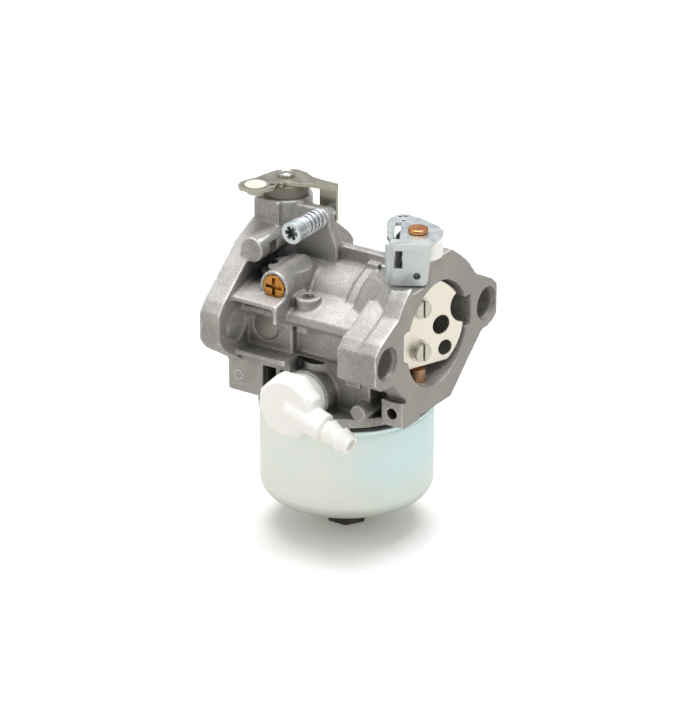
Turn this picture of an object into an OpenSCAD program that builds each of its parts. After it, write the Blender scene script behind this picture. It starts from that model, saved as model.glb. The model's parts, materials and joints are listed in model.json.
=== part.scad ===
// Float-bowl carburetor for a small engine.
// Millimetres. The origin is the centre of the throttle bore on the engine flange face.
// +X runs along the bore towards the air flange, +Z is up, the bolts sit at +Y and -Y.

/* [Flanges] */
// Distance from the engine flange face to the air flange face
body_len = 60; // [56:1:72]
// Spacing of the two mounting bolts
bolt_spacing = 54; // [52:1:66]
// Radius of a mounting bolt hole
bolt_hole_r = 4.7; // [3.5:0.1:5.2]
// Thickness of the engine flange
engine_flange_t = 7; // [5:0.5:8]
// Thickness of the air flange
air_flange_t = 6; // [5:0.5:7]
// Length of the bolt bosses behind the air flange face
boss_len = 13.6; // [10:0.2:16]

/* [Bores] */
// Radius of the throttle bore
throttle_bore_r = 11; // [9:0.2:11.6]
// Radius of the venturi throat
venturi_r = 8.6; // [7:0.2:9]
// Radius of the choke bore
choke_bore_r = 16.3; // [14:0.1:16.6]

/* [Throttle] */
// Distance of the throttle shaft from the engine flange face
throttle_x = 6.5; // [6:0.1:8]
// Radius of the throttle shaft
throttle_shaft_r = 2.9; // [2.4:0.1:3.2]
// Height of the top of the throttle tower
throttle_tower_z = 33; // [30:0.5:36]
// Radius of the dust seal on the throttle tower
dust_seal_r = 6.8; // [5:0.1:7.4]
// Height of the dust seal
dust_seal_h = 4; // [3:0.1:6]
// Thickness of the throttle lever
throttle_lever_t = 1.2; // [1:0.1:1.6]

/* [Idle speed screw] */
// Distance of the idle speed screw from the engine flange face
idle_x = 21.2; // [20.4:0.1:21.8]
// Height of the idle speed screw
idle_z = 29.6; // [29:0.1:30]
// Radius of the screw's head
idle_head_r = 3.4; // [2.8:0.1:3.6]
// Length of the screw's head
idle_head_l = 3.4; // [2.5:0.1:4]
// Radius of the screw's thread
idle_thread_r = 2; // [1.6:0.1:2.1]
// Distance of the spring's seat from the bore's centre plane
lug_face_y = 4.6; // [4:0.1:5]
// Length of the spring between its lug and its washer
idle_spring_l = 10.4; // [9:0.1:11]

/* [Choke] */
// Distance of the choke shaft behind the air flange face
choke_back = 7; // [6:0.1:8]
// Radius of the choke shaft
choke_shaft_r = 2.5; // [2:0.1:2.6]
// Height of the top of the choke tower
choke_tower_z = 24; // [23:0.1:25]
// Outer radius of the spring housing
housing_r = 7.4; // [6.8:0.1:7.8]
// Height of the spring housing
housing_h = 5.3; // [5:0.1:7]
// Angle of the choke plate from closed, as drawn
choke_angle = 22; // [10:1:30]
// Thickness of the choke plate
choke_plate_t = 1.1; // [0.8:0.1:1.4]
// Thickness of the choke lever's sheet
choke_lever_t = 1.2; // [1:0.1:1.4]

/* [Float bowl] */
// Distance of the bowl's centre line from the engine flange face
bowl_x = 28.1; // [27.6:0.1:30]
// Outer radius of the bowl
bowl_r = 26.6; // [24:0.1:28]
// Depth of the bowl
bowl_depth = 30; // [28:0.5:36]
// Wall of the bowl
bowl_wall = 0.9; // [0.6:0.1:1.2]
// Radius of the bowl's lower corner
bowl_corner_r = 5; // [3:0.5:6]
// Height of the bowl's rim below the bore's centre
bowl_rim_z = 28; // [27.5:0.1:30]
// Thickness of the bowl gasket
gasket_t = 0.9; // [0.6:0.1:1.2]
// Size of the bowl bolt across its flats
bowl_bolt_af = 11; // [9:0.5:13]
// Height of the bowl bolt's head
bowl_bolt_h = 9.4; // [5:0.2:11]

/* [Float] */
// Outer radius of the float
float_r = 21.6; // [19:0.1:22]
// Radius of the hole in the float
float_hole_r = 9.4; // [8.5:0.1:10.5]
// Height of the float
float_h = 12; // [10:0.5:13]
// Distance of the float's pin from the bowl's centre line
float_pin_y = 20.6; // [20:0.1:21]
// Angle that the float hangs down when the bowl is empty
float_drop = 8; // [4:0.5:9]

/* [Fuel inlet] */
// Height of the fuel inlet below the bore's centre
inlet_z = 19.6; // [19:0.1:20]
// Radius of the inlet boss on the casting
inlet_boss_r = 8; // [7:0.1:8.2]
// Distance of the inlet boss's face from the bore's centre plane
inlet_face_y = 22.4; // [22:0.1:24]
// Size of the elbow's octagonal head across its flats
elbow_head_af = 18.4; // [15:0.1:19]
// Radius of the elbow's stem
barb_r = 3.9; // [3:0.05:4.2]
// Length of the stem from the elbow's centre line
barb_len = 23; // [18:0.5:24]
// Angle of the stem below the horizontal
barb_angle = 19; // [15:1:35]

/* [Hidden] */

$fn = 96;
over = 0.5;                 // how far a cut runs past the face it opens
slip = 0.05;                // radial clearance of a part that turns
press = 0.02;               // radial clearance of a part that is pressed or screwed in
gap = 0.15;                 // face clearance between a moving part and a fixed one

bolt_y = bolt_spacing / 2;
choke_x = body_len - choke_back;
air_back_x = body_len - air_flange_t;
boss_back_x = body_len - boss_len;

// Flange outlines and the middle of the casting
engine_half_w = bolt_y + 9;
air_half_w = bolt_y + 6;
channel_y = bolt_y - 6;     // back wall of the open channel that each bolt runs through
ridge_y = bolt_y - 3;       // ridge above the channel
mid_top_z = 17.4;
rib_top_z = 21;
base_z = -24;               // underside of the middle, where the bowl ring starts
ring_r = bowl_r - 0.5;
ring_bottom_z = -bowl_rim_z + gasket_t;
throat_x0 = 19;
throat_x1 = 29;
choke_chamber_x = 40;
barrel_r = 16.8;            // outside of the barrel round the bore
band_x = choke_chamber_x - 2.7;
neck_x = choke_chamber_x + 0.9;
counterbore = 0.5;          // how much wider a bolt hole's mouth is
shelf_y = engine_half_w - 6.5;
shelf_top_z = 9.9;
shelf_end_x = 22.7;
web_t = 1.4;
deep_channel_y = choke_bore_r + 1.9;

// Throttle
seal_top_z = throttle_tower_z + dust_seal_h;
throttle_lever_z = seal_top_z + gap;
throttle_lever_top = throttle_lever_z + throttle_lever_t;
throttle_plate_t = 1.2;
throttle_plate_r = throttle_bore_r - 0.2;
throttle_shaft_end = -throttle_bore_r - 6;
plate_screw_z = 5.4;
plate_screw_r = 1.5;
plate_screw_head_r = 2.5;
plate_screw_head_h = 1.3;
lever_screw_r = 1.6;
lever_screw_head_r = 2.7;
pad_at = [-3, -11.6];       // the pad's place, from the throttle shaft
tab_y0 = 1.7;               // front face of the lever's stop tab
tab_t = 1.2;
tab_bottom_z = idle_z - 3;

// Idle speed screw
idle_washer_t = 0.7;
idle_washer_y = lug_face_y + idle_spring_l;      // inner face of the washer
idle_tip_y = tab_y0 - 0.12;                      // the tip ends just in front of the tab
idle_wire_r = 0.45;
idle_coil_r = idle_head_r - idle_wire_r - 0.1;
lug_back_y = -1;              // back face of the spring's lug

// Mixture screw
mix_x = 18.3;
mix_z = 13.6;
mix_face_y = 24;
mix_ring_r = 4.9;
mix_tip_y = 12;
mix_head_r = 3.7;
mix_stem_r = 1.5;
mix_bore_r = 2.6;
mix_head_l = 4;
mix_spring_l = 3;

// Small bosses and plugs
plug_top = [11, -14.6, 14.6];
plug_side = [26.4, -18.2, 10.6];
plug_r = 1.9;
plug_h = 1.2;
welch_r = 4.2;
welch_t = 0.8;
welch_x = 13.4;
welch_z = -1.2;

// Choke
choke_plate_r = choke_bore_r - 0.6;
choke_shaft_end = -choke_bore_r - 4;
choke_screw_z = 6.9;
choke_screw_r = 1.5;
choke_screw_head_r = 2.7;
choke_screw_head_h = 1.6;
washer_r = 3.3;
washer_t = 0.8;
housing_top = choke_tower_z + housing_h;
choke_lever_z = housing_top + gap;
choke_lever_top = choke_lever_z + choke_lever_t;
flap_dist = 9.6;            // front face of the lever's flap from the shaft
flap_bottom_z = 17.6;
flap_turn = 30;             // how far the flap faces round from -Y towards +X
lever_relief_z = flap_bottom_z - 0.5;
lever_relief_r = flap_dist - choke_lever_t - 0.4;
stop_x = choke_x - 15.6;    // stop block beside the lever's swing
stop_block = [4, 3.4, 8.8];
choke_wire_r = 0.3;
choke_coil_r = housing_r - 0.75 - 0.1 - choke_wire_r;

// Bowl, float and fuel
bowl_bottom_z = -bowl_rim_z - bowl_depth;
bowl_floor_z = bowl_bottom_z + bowl_wall;
column_r = 5.4;
bowl_stud_r = 3.3;
bowl_washer_t = 0.8;
bowl_washer_r = 7;
nozzle_tip_z = -venturi_r + 2.4;
nozzle_r = 2.5;
column_bore_r = nozzle_r + press;
jet_z = bowl_floor_z + 9;
nozzle_z = jet_z + 4;
float_pin_z = -32;
float_pin_r = 1;
float_top_z = -35.6;
arm_w = 7;
needle_y = 15.6;
needle_r = 1.5;
seat_r = 3;
seat_top_z = -20.8;
seat_bottom_z = -27.6;
needle_travel = (float_pin_y - needle_y) * float_drop * PI / 180;
needle_shut_z = -23;        // tip of the needle when it is shut
elbow_body_r = 7.4;
elbow_head_y0 = bowl_r + 0.8;   // back of the octagonal head, just in front of the bowl
elbow_head_y1 = elbow_head_y0 + 6.4;
elbow_head_l = elbow_head_y1 - elbow_head_y0;
elbow_spigot_r = 4.2;
elbow_spigot_l = 3.6;
o_ring_w = 1;
o_ring_y = inlet_face_y - elbow_spigot_l + 1.2;
fuel_bore_r = 1.9;
barb_y = (elbow_head_y0 + elbow_head_y1) / 2;

// ---- helpers ---------------------------------------------------------------------------

// A flat outline in (Y, Z) carried along X from x0 to x1
module along_x(x0, x1) {
    translate([x0, 0, 0]) rotate([90, 0, 90]) linear_extrude(x1 - x0) children();
}

// A round bar along X
module bar_x(x0, x1, r, y = 0, z = 0) {
    translate([x0, y, z]) rotate([0, 90, 0]) cylinder(r = r, h = x1 - x0);
}

// A round bar that runs from y0 out to -y1, both measured towards -Y
module bar_y(y0, y1, r, x = 0, z = 0) {
    translate([x, -y0, z]) rotate([90, 0, 0]) cylinder(r = r, h = y1 - y0);
}

// A round bar along Z
module bar_z(z0, z1, r, x = 0, y = 0) {
    translate([x, y, z0]) cylinder(r = r, h = z1 - z0);
}

// A ring along Z
module ring_z(z0, z1, outer, inner, x = 0, y = 0) {
    translate([x, y, 0]) difference() {
        bar_z(z0, z1, outer);
        bar_z(z0 - over, z1 + over, inner);
    }
}

// A coil of round wire along Z: ends closed, open in the middle
module coil(mean_r, wire_r, length, turns, sides = 8, steps = 20) {
    last = turns * steps;
    rise = length - 2 * wire_r;
    function height(t) = wire_r + rise * (t - sin(360 * t) / (2 * PI) * 0.55);
    function ring_point(i, j) =
        let (a = 360 * i / steps, b = 360 * j / sides, t = i / last)
        [(mean_r + wire_r * cos(b)) * cos(a), (mean_r + wire_r * cos(b)) * sin(a),
         height(t) + wire_r * sin(b)];
    points = [for (i = [0:last], j = [0:sides - 1]) ring_point(i, j)];
    start_cap = [[for (j = [0:sides - 1]) j]];
    end_cap = [[for (j = [sides - 1:-1:0]) last * sides + j]];
    walls = [for (i = [0:last - 1], j = [0:sides - 1])
        let (k = (j + 1) % sides)
        [i * sides + j, (i + 1) * sides + j, (i + 1) * sides + k, i * sides + k]];
    polyhedron(points, concat(start_cap, walls, end_cap), convexity = 10);
}

// A cross-slotted or single-slotted round screw along Z with its head's top at z = 0
module screw_z(head_r, head_h, shank_r, shank_l, slots = 1) {
    difference() {
        union() {
            bar_z(-head_h, 0, head_r);
            bar_z(-head_h - shank_l, -head_h, shank_r);
        }
        if (slots > 0) for (i = [0:slots - 1]) rotate([0, 0, 90 * i])
            translate([-head_r - over, -0.35, -0.7]) cube([2 * (head_r + over), 0.7, 0.7 + over]);
    }
}

// ---- casting ---------------------------------------------------------------------------

module engine_outline() {
    w = engine_half_w;
    polygon([[-9, 26], [9, 26], [17, 22.4], [w - 2.5, 8.8], [w, 5.8], [w, -3.4], [w - 2.6, -6.6],
             [22, -14], [18, -22.5], [-18, -22.5], [-22, -14], [2.6 - w, -6.6], [-w, -3.4],
             [-w, 5.8], [2.5 - w, 8.8], [-17, 22.4]]);
}

module air_outline() {
    w = air_half_w;
    b = bolt_y;
    t = choke_tower_z;
    polygon([[-8, t], [8, t], [12.4, 20.9], [16.9, 17], [21.1, 11.8], [b - 1.7, 9.6], [b + 3.2, 7],
             [w, 4.4], [w, -4.8], [b + 1.3, -7.6], [b - 2.1, -7.6], [16.9, -14.5], [10.1, -20.7],
             [7.5, -23], [-15.5, -23], [-16.4, -15.8], [-b + 3.3, -8], [-b - 3.3, -7.4],
             [-w, -5], [-w, 4.4], [-b - 3.2, 7], [-b + 1.7, 9.6], [-21.1, 11.8], [-17.6, 16.2],
             [-12.4, 20.9]]);
}

module boss_outline() {
    w = air_half_w;
    b = bolt_y;
    polygon([[-w, -5], [-w, 4.2], [-b - 3, 6.8], [-b + 1.5, 8.6], [-16, 13.5], [-16, -9],
             [-b + 3, -7.6], [-b - 3.2, -7]]);
}

module middle_outline() {
    c = channel_y;
    r = ridge_y;
    circle(r = barrel_r);
    polygon([[13.5, 10], [r - 0.4, 6.2], [r, 5.2], [r, 3.8], [c + 0.3, 1.6], [c, -7.8], [17.5, -9],
             [16.5, base_z], [-16.5, base_z], [-17.5, -9], [-c, -7.8], [-c - 0.3, 1.6], [-r, 3.8],
             [-r, 5.2], [0.4 - r, 6.2], [-13.5, 10]]);
}

// The idle screw's lug and the rib that runs back from it
module lug_outline() {
    top = idle_z + 2.6;
    seal_x = throttle_x + dust_seal_r + 0.5;
    polygon([[throttle_x, 15], [throttle_x, throttle_tower_z - 1], [seal_x, throttle_tower_z - 1],
             [seal_x + 0.8, top], [idle_x + 1.4, top], [idle_x + 3.2, idle_z + 1],
             [idle_x + 4, idle_z - 3], [27.5, rib_top_z], [27.5, 15]]);
}

module towers() {
    // throttle tower with its flat front
    bar_z(8, throttle_tower_z, 8, throttle_x);
    translate([0.6, -8.6, 8]) cube([9, 17.2, throttle_tower_z - 8]);
    // choke tower
    bar_z(8, choke_tower_z, 8.4, choke_x);
    // centre rib
    translate([8, -1.7, 10]) cube([choke_x - 8, 3.4, rib_top_z - 10]);
    // lug for the idle speed screw
    translate([0, lug_back_y, 0]) rotate([90, 0, 0])
        linear_extrude(lug_face_y + lug_back_y) lug_outline();
    // stop block beside the choke lever
    translate([stop_x, -stop_block[1] - 0.5, 10]) cube(stop_block);
}

module side_bosses() {
    // blind boss beside the tower
    bar_y(4, 21, 3.9, 8.1, 21.9);
    // mixture screw, and the column that it runs into
    bar_y(8, mix_face_y, mix_ring_r, mix_x, mix_z);
    bar_z(0, mix_z + 3.4, 6.6, mix_x - 1.3, -13.5);
    bar_z(2, plug_top[2], 3.1, plug_top[0], plug_top[1]);
    bar_z(0, plug_side[2], 3.8, plug_side[0], plug_side[1]);
    // shelf above the channel, its end web, a rib and the ledge below
    along_x(2, shelf_end_x) polygon([[-shelf_y, shelf_top_z - web_t], [-shelf_y, shelf_top_z],
                                     [-20, shelf_top_z + 2], [-15, shelf_top_z + 2],
                                     [-15, shelf_top_z - web_t]]);
    translate([shelf_end_x - web_t, -shelf_y, 2.5]) cube([web_t, shelf_y - 20, shelf_top_z - 3.5]);
    bar_x(engine_flange_t - 1, 20, 1.3, -channel_y - 0.4, 5.4);
    translate([2, -bolt_y - 0.4, -9.4]) cube([22, bolt_y - 10, 1.5]);
}

// The parts around the bowl's ring and the fuel inlet
module lower_body() {
    bar_z(ring_bottom_z, base_z, ring_r, bowl_x);
    bar_z(base_z - 0.1, -8, 17.5, bowl_x);
    bar_y(0, inlet_face_y, inlet_boss_r, bowl_x, -inlet_z);
    // skirt plate with its slots
    translate([1.7, -24.2, -23]) cube([12.4, 1.8, 14]);
    translate([1.7, -24.2, -12.4]) cube([22, 9, 3.6]);
    translate([3, -23.4, -20]) cube([5, 8, 10]);
    for (x = [12.4, 17.2]) translate([x, -21.6, -25]) cube([1.6, 6, 15]);
    // small bosses on the air side
    bar_y(10, 21.6, 2.5, 46, -21.2);
    bar_y(12, 18.9, 3.6, body_len - 3.8, -19.8);
    translate([body_len - 7.6, -18.6, -24]) cube([7.6, 9, 8]);
    translate([40, -18.8, -14.4]) cube([5, 6, 1.6]);
    // needle seat's boss
    bar_z(ring_bottom_z, -10, 4.6, bowl_x, -needle_y);
    // centre column, and the two ears that hold the float's pin
    bar_z(bowl_floor_z, -10, column_r, bowl_x);
    for (side = [-1, 1]) translate([bowl_x + side * (arm_w / 2 + 0.3 + 1.1) - 1.1,
                                    -float_pin_y - 1.9, float_pin_z - 1.8])
        cube([2.2, 3.8, -float_pin_z + 1.8 + base_z]);
}

// The round way from the throttle bore through the venturi to the choke bore
module bore_profile() {
    tr = throttle_bore_r;
    vr = venturi_r;
    cr = choke_bore_r;
    rotate([0, 90, 0]) rotate_extrude()
        polygon([[0, -over], [tr, -over], [tr, throat_x0 - 5], [vr, throat_x0 + 2], [vr, throat_x1],
                 [cr, choke_chamber_x], [cr, body_len + over], [0, body_len + over]]);
}

module casting_cuts() {
    bore_profile();
    // both flange faces are machined flat
    translate([-20, -60, -80]) cube([20, 120, 160]);
    translate([body_len, -60, -80]) cube([20, 120, 160]);
    // mounting bolts, with a light counterbore on the air side
    for (side = [-1, 1]) {
        bar_x(-over, body_len + over, bolt_hole_r, side * bolt_y);
        bar_x(body_len - 1.4, body_len + over, bolt_hole_r + counterbore, side * bolt_y);
        // pocket beside the choke bore
        translate([body_len - 11, side * 9 - 9 + side * 0.2, -3.5]) cube([11 + over, 18, 9.8]);
    }
    // shaft bores, the screw's bore, and the plugs' seats
    bar_z(throttle_shaft_end - 0.3, throttle_tower_z + over, throttle_shaft_r + slip, throttle_x);
    bar_z(choke_shaft_end - 0.3, choke_tower_z + over, choke_shaft_r + slip, choke_x);
    bar_y(-lug_back_y - over, lug_face_y + over, idle_thread_r + slip, idle_x, idle_z);
    bar_y(mix_tip_y - 0.5, mix_face_y + over, mix_stem_r + slip, mix_x, mix_z);
    bar_y(mix_face_y - mix_head_l - mix_spring_l - 1.6, mix_face_y + over, mix_bore_r, mix_x, mix_z);
    bar_y(mix_face_y - mix_head_l, mix_face_y + over, mix_head_r + slip, mix_x, mix_z);
    bar_y(channel_y - welch_t, channel_y + 3, welch_r + press, welch_x, welch_z);
    for (p = [plug_top, plug_side]) bar_z(p[2] - plug_h, p[2] + 9, plug_r + press, p[0], p[1]);
    bar_z(plug_side[2], plug_side[2] + 9, 3.9, plug_side[0], plug_side[1]);
    // the deeper stretch of the channel
    translate([shelf_end_x, -channel_y - over, -7.8])
        cube([boss_back_x - shelf_end_x, channel_y + over - deep_channel_y, 9]);
    // vent hole in the small boss
    bar_y(14, 20, 1.7, body_len - 3.8, -19.8);
    // room for the choke lever's flap to swing
    difference() {
        ring_z(lever_relief_z, choke_tower_z + 12, 15.4, lever_relief_r, choke_x);
        translate([choke_x - 16, -0.9, 0]) cube([32, 20, 60]);
        translate([choke_x - 16, -2.2, 0]) cube([8, 12, 60]);
        translate([choke_x - 16, -3.9, 0]) cube([4.6, 12, 60]);
    }
    // fuel way, seat, and the centre column's bores
    bar_y(needle_y, inlet_face_y + over, fuel_bore_r, bowl_x, -inlet_z);
    bar_y(inlet_face_y - elbow_spigot_l, inlet_face_y + over, elbow_spigot_r + press, bowl_x, -inlet_z);
    bar_y(inlet_face_y, bowl_r + 4, elbow_body_r + 0.2, bowl_x, -inlet_z);
    bar_z(ring_bottom_z - over, seat_top_z, seat_r + press, bowl_x, -needle_y);
    bar_z(seat_top_z - over, -inlet_z + 1, 1.4, bowl_x, -needle_y);
    bar_z(bowl_floor_z - over, -venturi_r + 2, column_bore_r, bowl_x);
    bar_z(bowl_floor_z - over, jet_z - 2, bowl_stud_r + press, bowl_x);
    // cross way from the bowl into the column, above the bolt
    bar_y(-column_r - 1, column_r + 1, 0.9, bowl_x, jet_z - 1);
    // float pin
    bar_x(bowl_x - 9, bowl_x + 9, float_pin_r + press, -float_pin_y, float_pin_z);
}

module body_casting() {
    color("#a39c9b") difference() {
        union() {
            along_x(0, engine_flange_t) engine_outline();
            along_x(air_back_x, body_len) air_outline();
            for (m = [0, 1]) mirror([0, m, 0]) along_x(boss_back_x, body_len) boss_outline();
            along_x(engine_flange_t - 1, boss_back_x + 1) middle_outline();
            bar_x(band_x, neck_x, barrel_r + 0.7);
            translate([neck_x - 0.1, 0, 0]) rotate([0, 90, 0])
                cylinder(r1 = barrel_r + 1.5, r2 = 22.4, h = air_back_x - neck_x + 0.2);
            towers();
            side_bosses();
            lower_body();
        }
        casting_cuts();
    }
}

// ---- throttle --------------------------------------------------------------------------

module throttle_shaft() {
    color("#b9b6b0") translate([throttle_x, 0, 0]) difference() {
        bar_z(throttle_shaft_end, throttle_lever_z, throttle_shaft_r);
        // flat for the plate
        translate([0, -throttle_shaft_r - over, -throttle_plate_r - 0.1])
            cube([throttle_shaft_r + over, 2 * (throttle_shaft_r + over), 2 * throttle_plate_r + 0.2]);
        for (z = [-plate_screw_z, plate_screw_z]) translate([0, 0, z]) rotate([0, 90, 0])
            bar_z(-throttle_shaft_r - over, over, plate_screw_r + press);
        bar_z(throttle_lever_z - 7, throttle_lever_z + over, lever_screw_r + press);
    }
}

module throttle_plate() {
    color("#c9a65a") translate([throttle_x, 0, 0]) difference() {
        bar_x(0, throttle_plate_t, throttle_plate_r);
        for (z = [-plate_screw_z, plate_screw_z])
            bar_x(-over, throttle_plate_t + over, plate_screw_r + press, 0, z);
    }
}

module throttle_plate_screws() {
    color("#cfccc4") for (z = [-plate_screw_z, plate_screw_z])
        translate([throttle_x + throttle_plate_t + plate_screw_head_h, 0, z]) rotate([0, 90, 0])
            screw_z(plate_screw_head_r, plate_screw_head_h, plate_screw_r, throttle_plate_t + 2.6);
}

module throttle_dust_seal() {
    color("#8f8d7c") translate([throttle_x, 0, 0]) difference() {
        bar_z(throttle_tower_z, seal_top_z, dust_seal_r);
        bar_z(throttle_tower_z - over, seal_top_z + over, throttle_shaft_r + slip);
    }
}

// Lever plate seen from above, about the shaft
module throttle_lever_outline() {
    polygon([[-6.2, -15.4], [-7.8, -13.8], [-8.3, -11.6], [-7.6, -9], [-6.3, -6.4], [-5.8, -2.6],
             [-4.6, 1.8], [-2.4, 4.6], [0.6, 5.7], [3.8, 5.2], [7.4, 3.2], [10.6, 2.9], [16.7, 2.9],
             [17.3, 2], [16.9, -0.4], [14.4, -1.1], [10.2, -1.9], [7.9, -2.9], [5.4, -3.9],
             [3.2, -4.8], [3.2, -6.6], [1.6, -6.6], [2.4, -9.6], [1.4, -12], [-0.4, -14.2],
             [-3.2, -15.5]]);
}

module throttle_lever() {
    color("#aaa69c") translate([throttle_x, 0, 0]) {
        difference() {
            translate([0, 0, throttle_lever_z]) linear_extrude(throttle_lever_t)
                throttle_lever_outline();
            bar_z(throttle_lever_z - over, throttle_lever_top + over, lever_screw_r + press);
            bar_z(throttle_lever_z - over, throttle_lever_top + over, 0.8, 0.7, -8.4);
            bar_z(throttle_lever_z - over, throttle_lever_top + over, 1.5, pad_at[0], pad_at[1]);
        }
        // stop tab that the idle speed screw bears on
        translate([idle_x - throttle_x - 4, tab_y0, tab_bottom_z])
            cube([6, tab_t, throttle_lever_z - tab_bottom_z]);
    }
}

module throttle_lever_pad() {
    color("#d8d6c4") translate([throttle_x + pad_at[0], pad_at[1], 0]) {
        bar_z(throttle_lever_top, throttle_lever_top + 0.5, 3.3);
        bar_z(throttle_lever_z - 0.5, throttle_lever_top, 1.5 - press);
        bar_z(throttle_lever_z - 1.3, throttle_lever_z, 2.7);
    }
}

module throttle_lever_screw() {
    head_h = 1;
    color("#8c8a86") translate([throttle_x, 0, throttle_lever_top + head_h]) difference() {
        screw_z(lever_screw_head_r, head_h, lever_screw_r, throttle_lever_t + 5.5, 0);
        ring_z(-0.4, over, 2, 1.3);
    }
}

// ---- idle speed screw ------------------------------------------------------------------

module idle_speed_screw() {
    head_y = idle_washer_y + idle_washer_t;
    color("#dfe3e6") difference() {
        union() {
            bar_y(head_y + gap, head_y + gap + idle_head_l, idle_head_r, idle_x, idle_z);
            bar_y(-idle_tip_y, head_y + gap + 1, idle_thread_r, idle_x, idle_z);
        }
        translate([idle_x, -head_y - gap - idle_head_l + 2.4, idle_z]) rotate([90, 0, 0])
            for (i = [0:2]) rotate([0, 0, 60 * i])
                translate([-2.1, -0.6, 0]) cube([4.2, 1.2, 3]);
    }
}

module idle_screw_washer() {
    color("#c6c9cb") difference() {
        bar_y(idle_washer_y, idle_washer_y + idle_washer_t, idle_head_r, idle_x, idle_z);
        bar_y(idle_washer_y - over, idle_washer_y + idle_washer_t + over, idle_thread_r + slip,
              idle_x, idle_z);
    }
}

module idle_speed_spring() {
    color("#d3dae0") translate([idle_x, -lug_face_y, idle_z]) rotate([90, 0, 0])
        coil(idle_coil_r, idle_wire_r, idle_spring_l - 0.1, 5);
}

// ---- mixture screw and passages --------------------------------------------------------

module mixture_screw() {
    back_y = mix_face_y - mix_head_l;
    color("#b5762a") difference() {
        union() {
            bar_y(back_y + gap, mix_face_y + 0.3, mix_head_r, mix_x, mix_z);
            bar_y(mix_tip_y, back_y + 1, mix_stem_r, mix_x, mix_z);
        }
        for (i = [0, 1]) translate([mix_x, -mix_face_y + 0.9, mix_z]) rotate([90, 90 * i, 0])
            translate([-mix_head_r + 0.9, -0.5, 0]) cube([2 * mix_head_r - 1.8, 1, 3]);
    }
}

module mixture_screw_spring() {
    color("#b8bcc0") translate([mix_x, -mix_face_y + mix_head_l + mix_spring_l, mix_z])
        rotate([90, 0, 0]) coil(2.05, 0.3, mix_spring_l, 2);
}

module mixture_screw_o_ring() {
    color("#232220") translate([mix_x, -mix_face_y + mix_head_l + mix_spring_l + 0.8, mix_z])
        rotate([90, 0, 0]) rotate_extrude() translate([mix_stem_r + 0.55, 0]) circle(r = 0.5);
}

module welch_plugs() {
    color("#c2c0be") bar_y(channel_y - welch_t, channel_y + 0.2, welch_r, welch_x, welch_z);
}

module passage_plugs() {
    color("#d6cfc6") for (p = [plug_top, plug_side]) translate([p[0], p[1], p[2] - 0.1])
        difference() {
            bar_z(-plug_h + 0.1, 0, plug_r);
            for (i = [0, 1]) rotate([0, 0, 45 + 90 * i])
                translate([-1.4, -0.25, -0.5]) cube([2.8, 0.5, 1]);
        }
}

// ---- choke -----------------------------------------------------------------------------

// Places children on the choke shaft, turned with the plate
module on_choke() {
    translate([choke_x, 0, 0]) rotate([0, 0, -choke_angle]) children();
}

module choke_shaft() {
    color("#b98a5e") on_choke() difference() {
        bar_z(choke_shaft_end, choke_lever_z, choke_shaft_r);
        translate([0, -choke_shaft_r - over, -choke_plate_r + 3])
            cube([choke_shaft_r + over, 2 * (choke_shaft_r + over), 2 * choke_plate_r - 3]);
        for (z = [-choke_screw_z, choke_screw_z]) translate([0, 0, z]) rotate([0, 90, 0])
            bar_z(-choke_shaft_r - over, over, choke_screw_r + press);
        bar_z(choke_lever_z - 6, choke_lever_z + over, 1.5 + press);
    }
}

// The plate is cut flat below, scalloped on its outer side, and has two air holes
module choke_plate() {
    color("#e9e2d2") on_choke() difference() {
        bar_x(0, choke_plate_t, choke_plate_r);
        translate([-over, -20, -choke_plate_r - over]) cube([4, 40, choke_plate_r + over - 12]);
        bar_x(-over, 3, 5.6, 16.7, 4.2);
        translate([-over, 12.9, 9.2]) cube([4, 8, 8]);
        bar_x(-over, 3, 3, 7.75, -0.3);
        bar_x(-over, 3, 2.4, 9.25, -8);
        for (z = [-choke_screw_z, choke_screw_z])
            bar_x(-over, 3, choke_screw_r + press, 0, z);
    }
}

module choke_plate_screws() {
    color("#b9b4a6") on_choke() for (z = [-choke_screw_z, choke_screw_z])
        translate([choke_plate_t + washer_t + choke_screw_head_h, 0, z]) rotate([0, 90, 0])
            screw_z(choke_screw_head_r, choke_screw_head_h, choke_screw_r,
                    washer_t + choke_plate_t + 2.2);
}

// Split lock washers
module choke_lock_washers() {
    color("#a8a499") on_choke() for (z = [-choke_screw_z, choke_screw_z])
        translate([choke_plate_t, 0, z]) rotate([0, 90, 0]) difference() {
            ring_z(0, washer_t, washer_r, choke_screw_r + 0.1);
            translate([0, -0.3, -over]) cube([washer_r + over, 0.6, washer_t + 2 * over]);
        }
}

// White cup that holds the choke's return spring, with a window towards the flap's notch
module choke_spring_housing() {
    color("#f1efe4") translate([choke_x, 0, 0]) difference() {
        union() {
            ring_z(choke_tower_z, housing_top, housing_r, housing_r - 0.75);
            ring_z(choke_tower_z, choke_tower_z + 0.7, housing_r - 0.5, choke_shaft_r + slip);
            ring_z(choke_tower_z + 0.6, housing_top, choke_shaft_r + 1.1, choke_shaft_r + slip);
        }
        rotate([0, 0, flap_turn]) translate([-7.4, -10, choke_tower_z + 1])
            cube([5.6, 9, housing_h]);
    }
}

module choke_spring() {
    color("#24221f") translate([choke_x, 0, choke_tower_z + 0.8])
        coil(choke_coil_r, choke_wire_r, housing_h - 0.9, 4, steps = 28);
}

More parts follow.
